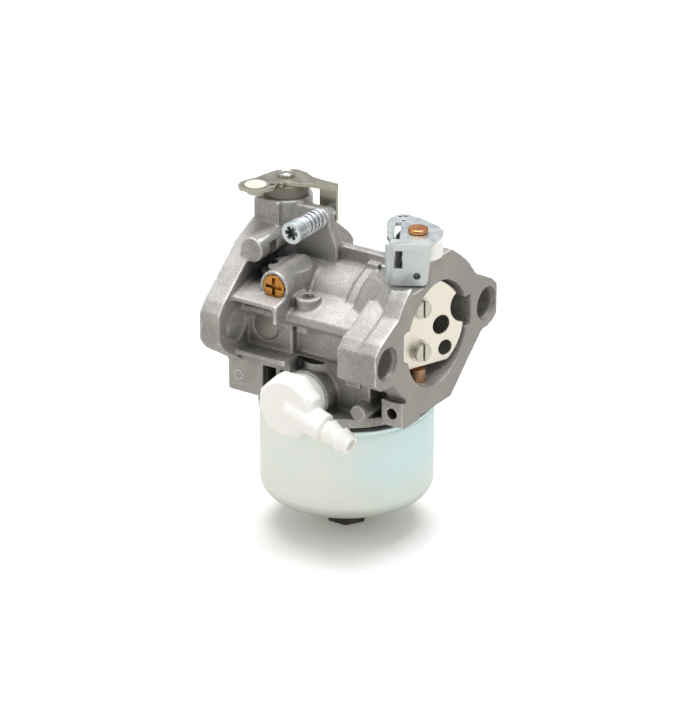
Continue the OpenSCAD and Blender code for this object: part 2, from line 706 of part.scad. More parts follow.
// Sheet lever: a top plate, a flap that hangs in front, and a lip along the flap's side
module choke_lever() {
    t = choke_lever_t;
    d = flap_dist;
    color("#c9d2d6") translate([choke_x, 0, 0]) rotate([0, 0, flap_turn]) {
        difference() {
            translate([0, 0, choke_lever_z]) linear_extrude(t)
                polygon([[-7.9, -d], [4.2, -d], [5.4, -5], [7.1, -0.6], [7.4, 1.9], [5.7, 5.4],
                         [3, 8.3], [-0.6, 11.5], [-3, 13.2], [-5.3, 13.7], [-7.2, 12.9], [-8.8, 10.1],
                         [-9.6, 7], [-9, -3], [-7.9, -6.4]]);
            bar_z(choke_lever_z - over, choke_lever_top + over, 1.5 + press);
            translate([-7, -5.6, choke_lever_z - over]) cube([1.8, 12.8, t + 1]);
            for (p = [[-5.9, 11.8], [-4.2, 12.1], [-4.7, 8.6]])
                bar_z(choke_lever_z - over, choke_lever_top + over, 0.55, p[0], p[1]);
        }
        difference() {
            translate([0, -d + t, 0]) rotate([90, 0, 0]) linear_extrude(t)
                polygon([[-7.9, choke_lever_z], [-7.9, flap_bottom_z + 1.8], [-7.3, flap_bottom_z + 0.5],
                         [-6, flap_bottom_z], [1.6, flap_bottom_z], [2.9, flap_bottom_z + 0.6],
                         [3.4, flap_bottom_z + 2], [4.2, choke_lever_z]]);
            // window in front of the spring, and the link's hole
            translate([-6.6, -d - over, choke_lever_top - 7.6]) cube([2.5, t + 2 * over, 5.4]);
            translate([0.1, -d - over, flap_bottom_z + 3.1]) rotate([-90, 0, 0])
                bar_z(0, t + 2 * over, 1.1);
        }
        // lip turned out along the flap's side, and the two hooks on it
        translate([0, 0, flap_bottom_z + 1.6]) linear_extrude(choke_lever_top - flap_bottom_z - 1.6)
            polygon([[-7.9, -d + t], [-9.2, -d - 0.5], [-8.4, -d - 1.4], [-6.9, -d]]);
        for (z = [23.5, 28.1]) bar_x(-10.2, -8, 0.5, -d + 0.1, z);
    }
}

module choke_rivet() {
    color("#c07a45") translate([choke_x, 0, 0]) {
        bar_z(choke_lever_top, choke_lever_top + 1.5, 3);
        bar_z(choke_lever_z - 5.5, choke_lever_top, 1.5);
    }
}

// ---- fuel inlet and float --------------------------------------------------------------

module fuel_elbow() {
    color("#f6f4ee") difference() {
        union() {
            bar_y(inlet_face_y - elbow_spigot_l + 0.4, o_ring_y, elbow_spigot_r, bowl_x, -inlet_z);
            bar_y(o_ring_y - over, o_ring_y + o_ring_w + over, elbow_spigot_r - 0.9, bowl_x, -inlet_z);
            bar_y(o_ring_y + o_ring_w, inlet_face_y, elbow_spigot_r, bowl_x, -inlet_z);
            bar_y(inlet_face_y, elbow_head_y0 + 1, elbow_body_r, bowl_x, -inlet_z);
            // octagonal head with its front corners turned down
            translate([bowl_x, -elbow_head_y0, -inlet_z]) rotate([90, 22.5, 0]) intersection() {
                cylinder(r = elbow_head_af / 2 / cos(22.5), h = elbow_head_l, $fn = 8);
                translate([0, 0, -1]) cylinder(r1 = elbow_head_l + elbow_head_af / 2,
                                               r2 = elbow_head_af / 2 - 1, h = elbow_head_l + 1);
            }
            translate([bowl_x, -barb_y, -inlet_z]) rotate([0, 90 + barb_angle, 0]) {
                bar_z(0, barb_len, barb_r - 0.9);
                bar_z(0, 13, barb_r + 0.5);
                for (z = [14.6, 18.8]) translate([0, 0, z])
                    cylinder(r1 = barb_r, r2 = barb_r - 0.8, h = 2.8);
            }
        }
        bar_y(inlet_face_y - elbow_spigot_l, barb_y, fuel_bore_r, bowl_x, -inlet_z);
        translate([bowl_x, -barb_y, -inlet_z]) rotate([0, 90 + barb_angle, 0])
            bar_z(0, barb_len + over, fuel_bore_r);
    }
}

module fuel_elbow_o_ring() {
    color("#232220") difference() {
        bar_y(o_ring_y, o_ring_y + o_ring_w, elbow_spigot_r, bowl_x, -inlet_z);
        bar_y(o_ring_y - over, o_ring_y + o_ring_w + over, elbow_spigot_r - 0.9, bowl_x, -inlet_z);
    }
}

module inlet_seat() {
    color("#c79a3c") translate([bowl_x, -needle_y, 0]) difference() {
        bar_z(seat_bottom_z, seat_top_z, seat_r);
        bar_z(seat_bottom_z - over, needle_shut_z - 0.4, needle_r + 0.08);
        bar_z(needle_shut_z - 1, seat_top_z + over, 0.9);
    }
}

// The needle hangs open by its travel, because the bowl is drawn empty
module inlet_needle() {
    tip = needle_shut_z - needle_travel - 0.1;
    color("#bfa36a") translate([bowl_x, -needle_y, 0]) {
        translate([0, 0, tip - 2]) cylinder(r1 = needle_r, r2 = 0.5, h = 1.6);
        bar_z(tip - 8.4, tip - 2, needle_r);
    }
}

module needle_clip() {
    tip = needle_shut_z - needle_travel - 0.1;
    color("#c9ccce") translate([bowl_x, -needle_y, 0])
        ring_z(tip - 8.4 + 0.8, tip - 8.4 + 1.3, needle_r + 0.6, needle_r + press);
}

// Drawn shut, then turned down about its pin
module float() {
    color("#3a3834") translate([bowl_x, -float_pin_y, float_pin_z]) rotate([-float_drop, 0, 0])
        translate([-bowl_x, float_pin_y, -float_pin_z]) difference() {
            union() {
                bar_z(float_top_z - float_h, float_top_z, float_r, bowl_x);
                translate([bowl_x - arm_w / 2, -float_pin_y - 1, float_top_z - 1])
                    cube([arm_w, 8.6, float_pin_z + 0.2 - float_top_z + 1]);
                bar_x(bowl_x - arm_w / 2, bowl_x + arm_w / 2, 2, -float_pin_y, float_pin_z);
            }
            bar_z(float_top_z - float_h - over, float_top_z + over, float_hole_r, bowl_x);
            bar_x(bowl_x - arm_w, bowl_x + arm_w, float_pin_r + slip, -float_pin_y, float_pin_z);
        }
}

module float_hinge_pin() {
    color("#b9bcc0") bar_x(bowl_x - 6.2, bowl_x + 6.2, float_pin_r, -float_pin_y, float_pin_z);
}

module main_nozzle() {
    color("#c79a3c") difference() {
        ring_z(nozzle_z, nozzle_tip_z, nozzle_r, 1.1, bowl_x);
        for (z = [nozzle_z + 6:5:nozzle_tip_z - 8])
            bar_y(-nozzle_r - 1, nozzle_r + 1, 0.4, bowl_x, z);
    }
}

module main_jet() {
    color("#c79a3c") difference() {
        ring_z(jet_z, nozzle_z, nozzle_r, 0.6, bowl_x);
        translate([bowl_x - 3, -0.4, jet_z - over]) cube([6, 0.8, 1 + over]);
    }
}

// ---- bowl ------------------------------------------------------------------------------

module bowl_gasket() {
    color("#1d1c1b") ring_z(-bowl_rim_z, ring_bottom_z, ring_r + 0.2, ring_r - 2.4, bowl_x);
}

// Deep-drawn cup: a wall, a rounded lower corner and a flat floor
module float_bowl() {
    r = bowl_r;
    c = bowl_corner_r;
    w = bowl_wall;
    zb = bowl_bottom_z;
    outer = [for (a = [0:15:90]) [r - c + c * cos(a), zb + c - c * sin(a)]];
    inner = [for (a = [90:-15:0]) [r - c + (c - w) * cos(a), zb + c - (c - w) * sin(a)]];
    color("#cfd6d6") translate([bowl_x, 0, 0]) rotate_extrude()
        polygon(concat([[r - w, -bowl_rim_z], [r, -bowl_rim_z]], outer,
                       [[bowl_stud_r + 0.2, zb], [bowl_stud_r + 0.2, zb + w]], inner));
}

module bowl_bolt() {
    head_top = bowl_bottom_z - bowl_washer_t;
    color("#35332f") translate([bowl_x, 0, 0]) {
        bar_z(head_top, bowl_floor_z + 6, bowl_stud_r);
        translate([0, 0, head_top - bowl_bolt_h])
            cylinder(r = bowl_bolt_af / 2 / cos(30), h = bowl_bolt_h, $fn = 6);
    }
}

module bowl_bolt_washer() {
    color("#7c3b2c") ring_z(bowl_bottom_z - bowl_washer_t, bowl_bottom_z, bowl_washer_r,
                            bowl_stud_r + 0.05, bowl_x);
}

body_casting();
throttle_shaft();
throttle_plate();
throttle_plate_screws();
throttle_dust_seal();
throttle_lever();
throttle_lever_pad();
throttle_lever_screw();
idle_speed_screw();
idle_screw_washer();
idle_speed_spring();
mixture_screw();
mixture_screw_spring();
mixture_screw_o_ring();
welch_plugs();
passage_plugs();
choke_shaft();
choke_plate();
choke_plate_screws();
choke_lock_washers();
choke_spring_housing();
choke_spring();
choke_lever();
choke_rivet();
fuel_elbow();
fuel_elbow_o_ring();
inlet_seat();
inlet_needle();
needle_clip();
float();
float_hinge_pin();
main_nozzle();
main_jet();
bowl_gasket();
float_bowl();
bowl_bolt();
bowl_bolt_washer();
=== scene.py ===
import json
import math

import bmesh
import bpy
from mathutils import Matrix, Vector


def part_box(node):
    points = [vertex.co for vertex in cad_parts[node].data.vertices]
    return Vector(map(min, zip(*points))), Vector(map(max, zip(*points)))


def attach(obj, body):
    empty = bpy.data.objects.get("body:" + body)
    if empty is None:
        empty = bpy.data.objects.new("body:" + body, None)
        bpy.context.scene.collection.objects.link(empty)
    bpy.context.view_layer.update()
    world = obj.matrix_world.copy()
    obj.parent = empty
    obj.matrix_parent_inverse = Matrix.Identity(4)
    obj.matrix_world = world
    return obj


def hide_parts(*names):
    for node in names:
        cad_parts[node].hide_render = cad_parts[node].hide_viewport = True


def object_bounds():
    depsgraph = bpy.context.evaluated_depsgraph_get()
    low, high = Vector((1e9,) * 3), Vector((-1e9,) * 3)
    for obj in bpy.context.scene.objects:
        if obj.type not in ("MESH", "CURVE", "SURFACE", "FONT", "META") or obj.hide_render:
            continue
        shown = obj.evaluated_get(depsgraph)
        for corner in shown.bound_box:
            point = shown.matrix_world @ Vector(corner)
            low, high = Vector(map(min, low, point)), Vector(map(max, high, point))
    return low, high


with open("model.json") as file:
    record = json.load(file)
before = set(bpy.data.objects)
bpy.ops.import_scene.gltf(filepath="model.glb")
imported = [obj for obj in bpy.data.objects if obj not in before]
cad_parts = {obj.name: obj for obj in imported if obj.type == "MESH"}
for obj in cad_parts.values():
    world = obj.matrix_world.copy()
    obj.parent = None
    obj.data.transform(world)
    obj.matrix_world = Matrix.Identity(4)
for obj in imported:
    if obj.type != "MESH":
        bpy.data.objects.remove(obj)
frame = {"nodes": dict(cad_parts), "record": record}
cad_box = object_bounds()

MM = 0.001
nodes = frame["nodes"]
body_of_node = {n: b for b, names in frame["record"]["behaviour"]["bodies"].items() for n in names}

# ---------------------------------------------------------------- shader node groups


def socket_of(sockets, name):
    """The first socket of that name."""
    return next(s for s in sockets if s.name == name)


def new_group(name, inputs, outputs):
    """An empty shader group with named float or colour sockets; inputs give each default."""
    tree = bpy.data.node_groups.new(name, "ShaderNodeTree")
    for label, default in inputs:
        kind = "NodeSocketColor" if isinstance(default, tuple) else "NodeSocketFloat"
        socket = tree.interface.new_socket(name=label, in_out="INPUT", socket_type=kind)
        socket.default_value = default
    for label, kind in outputs:
        tree.interface.new_socket(name=label, in_out="OUTPUT", socket_type=kind)
    return tree, tree.nodes.new("NodeGroupInput"), tree.nodes.new("NodeGroupOutput")


def noise(tree, coords, scale, detail=3.0, rough=0.55):
    node = tree.nodes.new("ShaderNodeTexNoise")
    tree.links.new(coords, node.inputs["Vector"])
    if isinstance(scale, (int, float)):
        node.inputs["Scale"].default_value = scale
    else:
        tree.links.new(scale, node.inputs["Scale"])
    node.inputs["Detail"].default_value = detail
    node.inputs["Roughness"].default_value = rough
    return node.outputs["Fac"]


def ramp(tree, value, low, high):
    """0 below low, 1 above high, smooth between."""
    node = tree.nodes.new("ShaderNodeMapRange")
    node.interpolation_type = "SMOOTHSTEP"
    tree.links.new(value, node.inputs["Value"])
    for label, edge in (("From Min", low), ("From Max", high)):
        if isinstance(edge, (int, float)):
            node.inputs[label].default_value = edge
        else:
            tree.links.new(edge, node.inputs[label])
    return node.outputs["Result"]


def math_node(tree, operation, a, b):
    node = tree.nodes.new("ShaderNodeMath")
    node.operation = operation
    for slot, value in zip(node.inputs, (a, b)):
        if isinstance(value, (int, float)):
            slot.default_value = value
        else:
            tree.links.new(value, slot)
    return node.outputs[0]


def object_coords(tree):
    return tree.nodes.new("ShaderNodeTexCoord").outputs["Object"]


def make_edge_wear():
    """Mask of worn outer edges, broken up by noise."""
    tree, gi, go = new_group("Edge wear", [("Start", 0.52), ("Width", 0.06), ("Patch scale", 900.0)],
                             [("Mask", "NodeSocketFloat")])
    point = tree.nodes.new("ShaderNodeNewGeometry").outputs["Pointiness"]
    patches = noise(tree, object_coords(tree), gi.outputs["Patch scale"], 4.0)
    shifted = math_node(tree, "ADD", point, math_node(tree, "MULTIPLY", patches, 0.04))
    end = math_node(tree, "ADD", gi.outputs["Start"], gi.outputs["Width"])
    tree.links.new(ramp(tree, shifted, gi.outputs["Start"], end), go.inputs["Mask"])
    return tree


def make_recess():
    """Mask of inner corners and deep pockets, where painted shade darkens the colour."""
    tree, gi, go = new_group("Recess painted shade", [("Depth", 0.49), ("Width", 0.06), ("Pocket", 0.5),
                                              ("Reach", 9 * MM)],
                             [("Mask", "NodeSocketFloat")])
    point = tree.nodes.new("ShaderNodeNewGeometry").outputs["Pointiness"]
    low = math_node(tree, "SUBTRACT", gi.outputs["Depth"], gi.outputs["Width"])
    corner = math_node(tree, "SUBTRACT", 1.0, ramp(tree, point, low, gi.outputs["Depth"]))
    # ambient occlusion finds the deep pockets that get painted shade
    pocket = tree.nodes.new("ShaderNodeAmbientOcclusion")
    pocket.samples = 6
    pocket.only_local = True
    tree.links.new(gi.outputs["Reach"], pocket.inputs["Distance"])
    deep = ramp(tree, math_node(tree, "SUBTRACT", 1.0, pocket.outputs["AO"]), 0.3, 0.78)
    deep = math_node(tree, "MULTIPLY", deep, gi.outputs["Pocket"])
    tree.links.new(math_node(tree, "MAXIMUM", corner, deep), go.inputs["Mask"])
    return tree


def make_grain():
    """Fine cast or moulded grain as a height, and slow blotches as a mask."""
    tree, gi, go = new_group("Grain", [("Fine scale", 4000.0), ("Blotch scale", 120.0)],
                             [("Height", "NodeSocketFloat"), ("Blotch", "NodeSocketFloat")])
    coords = object_coords(tree)
    fine = noise(tree, coords, gi.outputs["Fine scale"], 4.0, 0.6)
    blotch = noise(tree, coords, gi.outputs["Blotch scale"], 4.0, 0.6)
    tree.links.new(fine, go.inputs["Height"])
    tree.links.new(ramp(tree, blotch, 0.35, 0.68), go.inputs["Blotch"])
    return tree


def make_drawn_lines():
    """Fine lines left by drawing, rolling or turning, stretched along one axis by its inputs."""
    tree, gi, go = new_group("Drawn lines",
                             [("X scale", 200.0), ("Y scale", 200.0), ("Z scale", 6000.0)],
                             [("Height", "NodeSocketFloat")])
    combine = tree.nodes.new("ShaderNodeCombineXYZ")
    for axis in "XYZ":
        tree.links.new(gi.outputs[f"{axis} scale"], combine.inputs[axis])
    stretch = tree.nodes.new("ShaderNodeVectorMath")
    stretch.operation = "MULTIPLY"
    tree.links.new(object_coords(tree), stretch.inputs[0])
    tree.links.new(combine.outputs["Vector"], stretch.inputs[1])
    tree.links.new(noise(tree, stretch.outputs["Vector"], 1.0, 3.0), go.inputs["Height"])
    return tree


GROUPS = {
    "wear": make_edge_wear(),
    "recess": make_recess(),
    "grain": make_grain(),
    "lines": make_drawn_lines(),
}

# ---------------------------------------------------------------- materials


class Finish:
    """A Principled material that is built up in layers: base colour, mixes, roughness and bump."""

    def __init__(self, name, colour, roughness, metallic=0.0, **sockets):
        self.mat = bpy.data.materials.new(name)
        self.mat.use_nodes = True
        self.tree = self.mat.node_tree
        self.bsdf = self.tree.nodes["Principled BSDF"]
        self.bsdf.inputs["Base Color"].default_value = (*colour, 1.0)
        self.bsdf.inputs["Roughness"].default_value = roughness
        self.bsdf.inputs["Metallic"].default_value = metallic
        for label, value in sockets.items():
            self.bsdf.inputs[label.replace("_", " ")].default_value = value
        self.colour = (*colour, 1.0)

    def group(self, key, **values):
        node = self.tree.nodes.new("ShaderNodeGroup")
        node.node_tree = GROUPS[key]
        for label, value in values.items():
            socket_of(node.inputs, label.replace("_", " ")).default_value = value
        return node

    def mix_colour(self, mask, colour, amount=1.0):
        """Lays a colour over what is there, where the mask is."""
        mix = self.tree.nodes.new("ShaderNodeMix")
        mix.data_type = "RGBA"
        self.tree.links.new(math_node(self.tree, "MULTIPLY", mask, amount), mix.inputs["Factor"])
        before = self.colour
        slot_a = next(s for s in mix.inputs if s.name == "A" and s.type == "RGBA")
        slot_b = next(s for s in mix.inputs if s.name == "B" and s.type == "RGBA")
        if isinstance(before, tuple):
            slot_a.default_value = before
        else:
            self.tree.links.new(before, slot_a)
        slot_b.default_value = (*colour, 1.0)
        self.colour = next(s for s in mix.outputs if s.type == "RGBA")
        self.tree.links.new(self.colour, self.bsdf.inputs["Base Color"])
        return self

    def vary_roughness(self, mask, low, high):
        node = self.tree.nodes.new("ShaderNodeMapRange")
        self.tree.links.new(mask, node.inputs["Value"])
        node.inputs["To Min"].default_value = low
        node.inputs["To Max"].default_value = high
        self.tree.links.new(node.outputs["Result"], self.bsdf.inputs["Roughness"])
        return self

    def bump(self, height, distance, strength=1.0):
        node = self.tree.nodes.new("ShaderNodeBump")
        node.inputs["Distance"].default_value = distance
        node.inputs["Strength"].default_value = strength
        self.tree.links.new(height, node.inputs["Height"])
        if self.bsdf.inputs["Normal"].links:
            self.tree.links.new(self.bsdf.inputs["Normal"].links[0].from_socket, node.inputs["Normal"])
        self.tree.links.new(node.outputs["Normal"], self.bsdf.inputs["Normal"])
        return self


def machined_mask(f, node):
    """1 on the two end faces of a node, across X, which a mill has cut."""
    air_face_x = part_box(node)[1].x
    cut_depth = 0.12 * MM
    tree = f.tree
    split = tree.nodes.new("ShaderNodeSeparateXYZ")
    tree.links.new(object_coords(tree), split.inputs["Vector"])
    engine_side = math_node(tree, "LESS_THAN", split.outputs["X"], cut_depth)
    air_side = math_node(tree, "GREATER_THAN", split.outputs["X"], air_face_x - cut_depth)
    return math_node(tree, "MAXIMUM", engine_side, air_side)


def cast_aluminium():
    """Grey die-cast skin: grainy, lighter on worn edges, painted shade dark in its pockets, milled end
    faces.
    """
    f = Finish("cast_aluminium", (0.34, 0.326, 0.312), 0.46, 0.68)
    grain = f.group("grain", Fine_scale=2600.0, Blotch_scale=75.0)
    f.mix_colour(grain.outputs["Blotch"], (0.47, 0.457, 0.44), 0.8)
    speckle = ramp(f.tree, grain.outputs["Height"], 0.5, 0.7)
    f.mix_colour(speckle, (0.86, 0.85, 0.83), 0.45)
    f.mix_colour(f.group("wear", Start=0.53, Width=0.06).outputs["Mask"], (0.86, 0.85, 0.83), 0.85)
    f.mix_colour(machined_mask(f, "body_casting"), (0.40, 0.385, 0.37))
    # painted shade: near-black colour in inner corners and deep pockets
    f.mix_colour(f.group("recess", Depth=0.485, Width=0.07, Pocket=1.0).outputs["Mask"],
                 (0.052, 0.043, 0.037), 0.86)
    f.vary_roughness(grain.outputs["Blotch"], 0.56, 0.42)
    return f.bump(grain.outputs["Height"], 0.00022, 0.8).mat


def plated_steel(name, colour, roughness, tint=None, lines=(300.0, 300.0, 300.0), wear=0.4):
    f = Finish(name, colour, roughness, 1.0)
    grain = f.group("grain", Fine_scale=5000.0, Blotch_scale=260.0)
    f.mix_colour(grain.outputs["Blotch"], tint or tuple(c * 0.86 for c in colour), 0.6)
    # painted shade: darker colour in inner corners, slots and pockets
    f.mix_colour(f.group("recess", Depth=0.48, Width=0.08, Pocket=1.0, Reach=3 * MM).outputs["Mask"],
                 tuple(c * 0.14 for c in colour), 0.8)
    f.mix_colour(f.group("wear", Start=0.54, Width=0.06).outputs["Mask"],
                 tuple(min(1.0, c * 1.25) for c in colour), wear)
    f.vary_roughness(grain.outputs["Blotch"], roughness + 0.06, roughness - 0.05)
    drawn = f.group("lines", X_scale=lines[0], Y_scale=lines[1], Z_scale=lines[2])
    return f.bump(drawn.outputs["Height"], 0.00002, 0.35).mat


def bowl_zinc():
    """Bright zinc with a faint painted blue sheen high on one side and a painted straw-coloured sheen
    lower down.
    """
    f = Finish("bowl_zinc", (0.80, 0.87, 0.85), 0.30, 0.75)
    tree = f.tree
    low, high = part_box("float_bowl")
    grain = f.group("grain", Fine_scale=5200.0, Blotch_scale=42.0)
    f.mix_colour(grain.outputs["Blotch"], (0.86, 0.89, 0.86), 0.7)
    split = tree.nodes.new("ShaderNodeSeparateXYZ")
    tree.links.new(object_coords(tree), split.inputs["Vector"])
    across = math_node(tree, "SUBTRACT", split.outputs["X"], (low.x + high.x) / 2)
    across = math_node(tree, "ADD", math_node(tree, "MULTIPLY", across, 0.83),
                       math_node(tree, "MULTIPLY", split.outputs["Y"], 0.55))
    soft = math_node(tree, "MULTIPLY", noise(tree, object_coords(tree), 55.0, 4.0), 0.02)
    across = math_node(tree, "ADD", across, soft)
    # painted sheen: bluer and brighter on the +X, +Y side of the cup
    f.mix_colour(ramp(tree, across, 0.006, 0.026), (0.68, 0.90, 0.95), 0.75)
    # painted sheen: warm straw colour on the lower part of the cup
    straw = ramp(tree, math_node(tree, "SUBTRACT", (low.z + high.z) / 2 + 0.003, split.outputs["Z"]),
                 0.0, 0.016)
    f.mix_colour(straw, (0.93, 0.92, 0.80), 0.5)
    f.vary_roughness(grain.outputs["Blotch"], 0.36, 0.30)
    return f.bump(grain.outputs["Height"], 0.000004, 0.1).mat


def moulded(name, colour, roughness, shade, **sockets):
    """Moulded plastic or rubber with a fine grain and slow colour changes."""
    f = Finish(name, colour, roughness, 0.0, **sockets)
    grain = f.group("grain", Fine_scale=3600.0, Blotch_scale=150.0)
    f.mix_colour(grain.outputs["Blotch"], shade, 0.6)
    # painted shade: darker colour in inner corners and pockets
    f.mix_colour(f.group("recess", Depth=0.48, Width=0.06).outputs["Mask"],
                 tuple(c * 0.55 for c in shade), 0.5)
    f.vary_roughness(grain.outputs["Blotch"], roughness + 0.06, roughness - 0.06)
    return f.bump(grain.outputs["Height"], 0.00003, 0.3).mat


MATERIALS = {
    "die_cast": cast_aluminium(),
    "shaft_steel": plated_steel("ground_steel", (0.56, 0.55, 0.53), 0.3, lines=(200, 200, 4000)),
    "brass": plated_steel("orange_brass", (0.56, 0.27, 0.07), 0.3, tint=(0.38, 0.16, 0.04)),
    "screw_steel": plated_steel("nickel_screws", (0.62, 0.60, 0.55), 0.26),
    "seal": moulded("grey_green_seal", (0.26, 0.25, 0.19), 0.6, (0.20, 0.19, 0.15)),
    "lever_steel": plated_steel("warm_nickel_sheet", (0.46, 0.44, 0.375), 0.34, lines=(900, 120, 900)),
    "pad": moulded("pale_pad", (0.66, 0.65, 0.56), 0.45, (0.56, 0.55, 0.46)),
    "zinc": plated_steel("blue_white_zinc", (0.64, 0.69, 0.70), 0.4, tint=(0.57, 0.63, 0.66)),
    "spring_steel": plated_steel("bright_wire", (0.74, 0.77, 0.80), 0.2),
    "black_wire": plated_steel("black_wire", (0.14, 0.135, 0.13), 0.24, tint=(0.22, 0.21, 0.20)),
    "rubber": moulded("black_rubber", (0.018, 0.017, 0.017), 0.62, (0.03, 0.028, 0.027)),
    "plug": plated_steel("pressed_plugs", (0.30, 0.285, 0.27), 0.36, wear=0.9),
    "copper_shaft": plated_steel("copper_washed", (0.50, 0.30, 0.18), 0.34, tint=(0.38, 0.21, 0.12)),
    "choke_plate": plated_steel("cream_nickel", (0.95, 0.91, 0.82), 0.42, tint=(0.90, 0.84, 0.74)),
    # painted glow: a faint warm emission makes the nylon look brighter and translucent
    "nylon": moulded("white_nylon", (0.96, 0.955, 0.93), 0.36, (0.95, 0.94, 0.90),
                     Emission_Color=(1.0, 0.97, 0.92, 1.0), Emission_Strength=0.06),
    "copper": plated_steel("copper_rivet", (0.70, 0.33, 0.14), 0.3, tint=(0.56, 0.24, 0.10)),
    "float_plastic": moulded("float_plastic", (0.03, 0.028, 0.026), 0.5, (0.05, 0.045, 0.04)),
    "bowl_zinc": bowl_zinc(),
    "dark_steel": plated_steel("dark_steel", (0.12, 0.11, 0.10), 0.42, tint=(0.20, 0.18, 0.16)),
    "fibre": moulded("red_fibre", (0.20, 0.06, 0.04), 0.7, (0.14, 0.04, 0.03)),
}

slot_of_node = {s["node"]: s["material_slot"] for s in frame["record"]["subparts"]}

# ---------------------------------------------------------------- meshes


def link(obj):
    bpy.context.scene.collection.objects.link(obj)
    return obj


def evaluated(obj):
    """A plain mesh of the object with its modifiers applied; the modifiers are removed."""
    bpy.context.view_layer.update()
    mesh = bpy.data.meshes.new_from_object(obj.evaluated_get(bpy.context.evaluated_depsgraph_get()))
    obj.modifiers.clear()
    obj.data = mesh
    return obj


def smooth_faces(mesh, degrees=32):
    for polygon in mesh.polygons:
        polygon.use_smooth = True
    mesh.set_sharp_from_angle(angle=math.radians(degrees))


def even_normals(piece, degrees):
    """Smooth shading in which large flat faces stay flat beside their small rounded edges."""
    smooth_faces(piece.data, degrees)
    even = piece.modifiers.new("even", "WEIGHTED_NORMAL")
    even.keep_sharp = True
    return evaluated(piece)


def merged_copy(node, name):
    """A new object with the CAD node's mesh, its loose triangles joined."""
    mesh = nodes[node].data.copy()
    bm = bmesh.new()
    bm.from_mesh(mesh)
    bmesh.ops.remove_doubles(bm, verts=bm.verts, dist=2e-6)
    bm.to_mesh(mesh)
    bm.free()
    return link(bpy.data.objects.new(name, mesh))


def dress(piece, node):
    """Gives a finished piece the node's body, slot and material, and hides the node."""
    piece.data.materials.clear()
    piece.data.materials.append(MATERIALS[slot_of_node[node]])
    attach(piece, body_of_node[node])
    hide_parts(node)
    return piece


def rounded_copy(node, name, voxel, passes, flat_ends=False, most_triangles=180000):
    """A copy with cast or moulded fillets, from a fine remesh and smoothing.

    flat_ends keeps its two faces across X flat, as if milled.
    """
    piece = merged_copy(node, name)
    remesh = piece.modifiers.new("remesh", "REMESH")
    remesh.mode = "VOXEL"
    remesh.voxel_size = voxel
    evaluated(piece)
    low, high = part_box(node)
    ends = {v.index: face_x for v in piece.data.vertices for face_x in (low.x, high.x)
            if flat_ends and abs(v.co.x - face_x) < voxel * 0.6}
    smooth = piece.modifiers.new("smooth", "SMOOTH")
    smooth.factor = 0.5
    smooth.iterations = passes
    evaluated(piece)
    for index, face_x in ends.items():
        piece.data.vertices[index].co.x = face_x
    triangles = sum(len(p.vertices) - 2 for p in piece.data.polygons)
    if triangles > most_triangles:
        thin = piece.modifiers.new("thin", "DECIMATE")
        thin.ratio = most_triangles / triangles
        evaluated(piece)
    return dress(even_normals(piece, 30), node)


def broken_edges(node, width, segments=2):
    """A copy of a CAD node with its flat faces made whole and its sharp edges broken."""
    piece = merged_copy(node, node + "_finished")
    flat = piece.modifiers.new("flat", "DECIMATE")
    flat.decimate_type = "DISSOLVE"
    flat.angle_limit = math.radians(1.0)
    bevel = piece.modifiers.new("bevel", "BEVEL")
    bevel.width = width
    bevel.segments = segments
    bevel.limit_method = "ANGLE"
    bevel.angle_limit = math.radians(35)
    evaluated(piece)
    return dress(even_normals(piece, 40), node)


def turned(name, profile, axis_x, axis_y, steps=128):
    """A closed solid turned about a vertical axis from (radius, z) points in millimetres."""
    mesh = bpy.data.meshes.new(name)
    bm = bmesh.new()
    verts = [bm.verts.new(((axis_x + r) * MM, axis_y * MM, z * MM)) for r, z in profile]
    edges = [bm.edges.new((a, b)) for a, b in zip(verts, verts[1:] + verts[:1])]
    bmesh.ops.spin(bm, geom=verts + edges, cent=(axis_x * MM, axis_y * MM, 0), axis=(0, 0, 1),
                   angle=2 * math.pi, steps=steps, use_merge=True)
    bmesh.ops.remove_doubles(bm, verts=bm.verts, dist=1e-7)
    bmesh.ops.recalc_face_normals(bm, faces=bm.faces)
    bm.to_mesh(mesh)
    bm.free()
    smooth_faces(mesh)
    return link(bpy.data.objects.new(name, mesh))


def arc(cx, cz, r, start, end, steps=8):
    """Points of an arc in (radius, z), angles in degrees."""
    return [(cx + r * math.cos(math.radians(start + (end - start) * i / steps)),
             cz + r * math.sin(math.radians(start + (end - start) * i / steps)))
            for i in range(steps + 1)]


# ---------------------------------------------------------------- springs


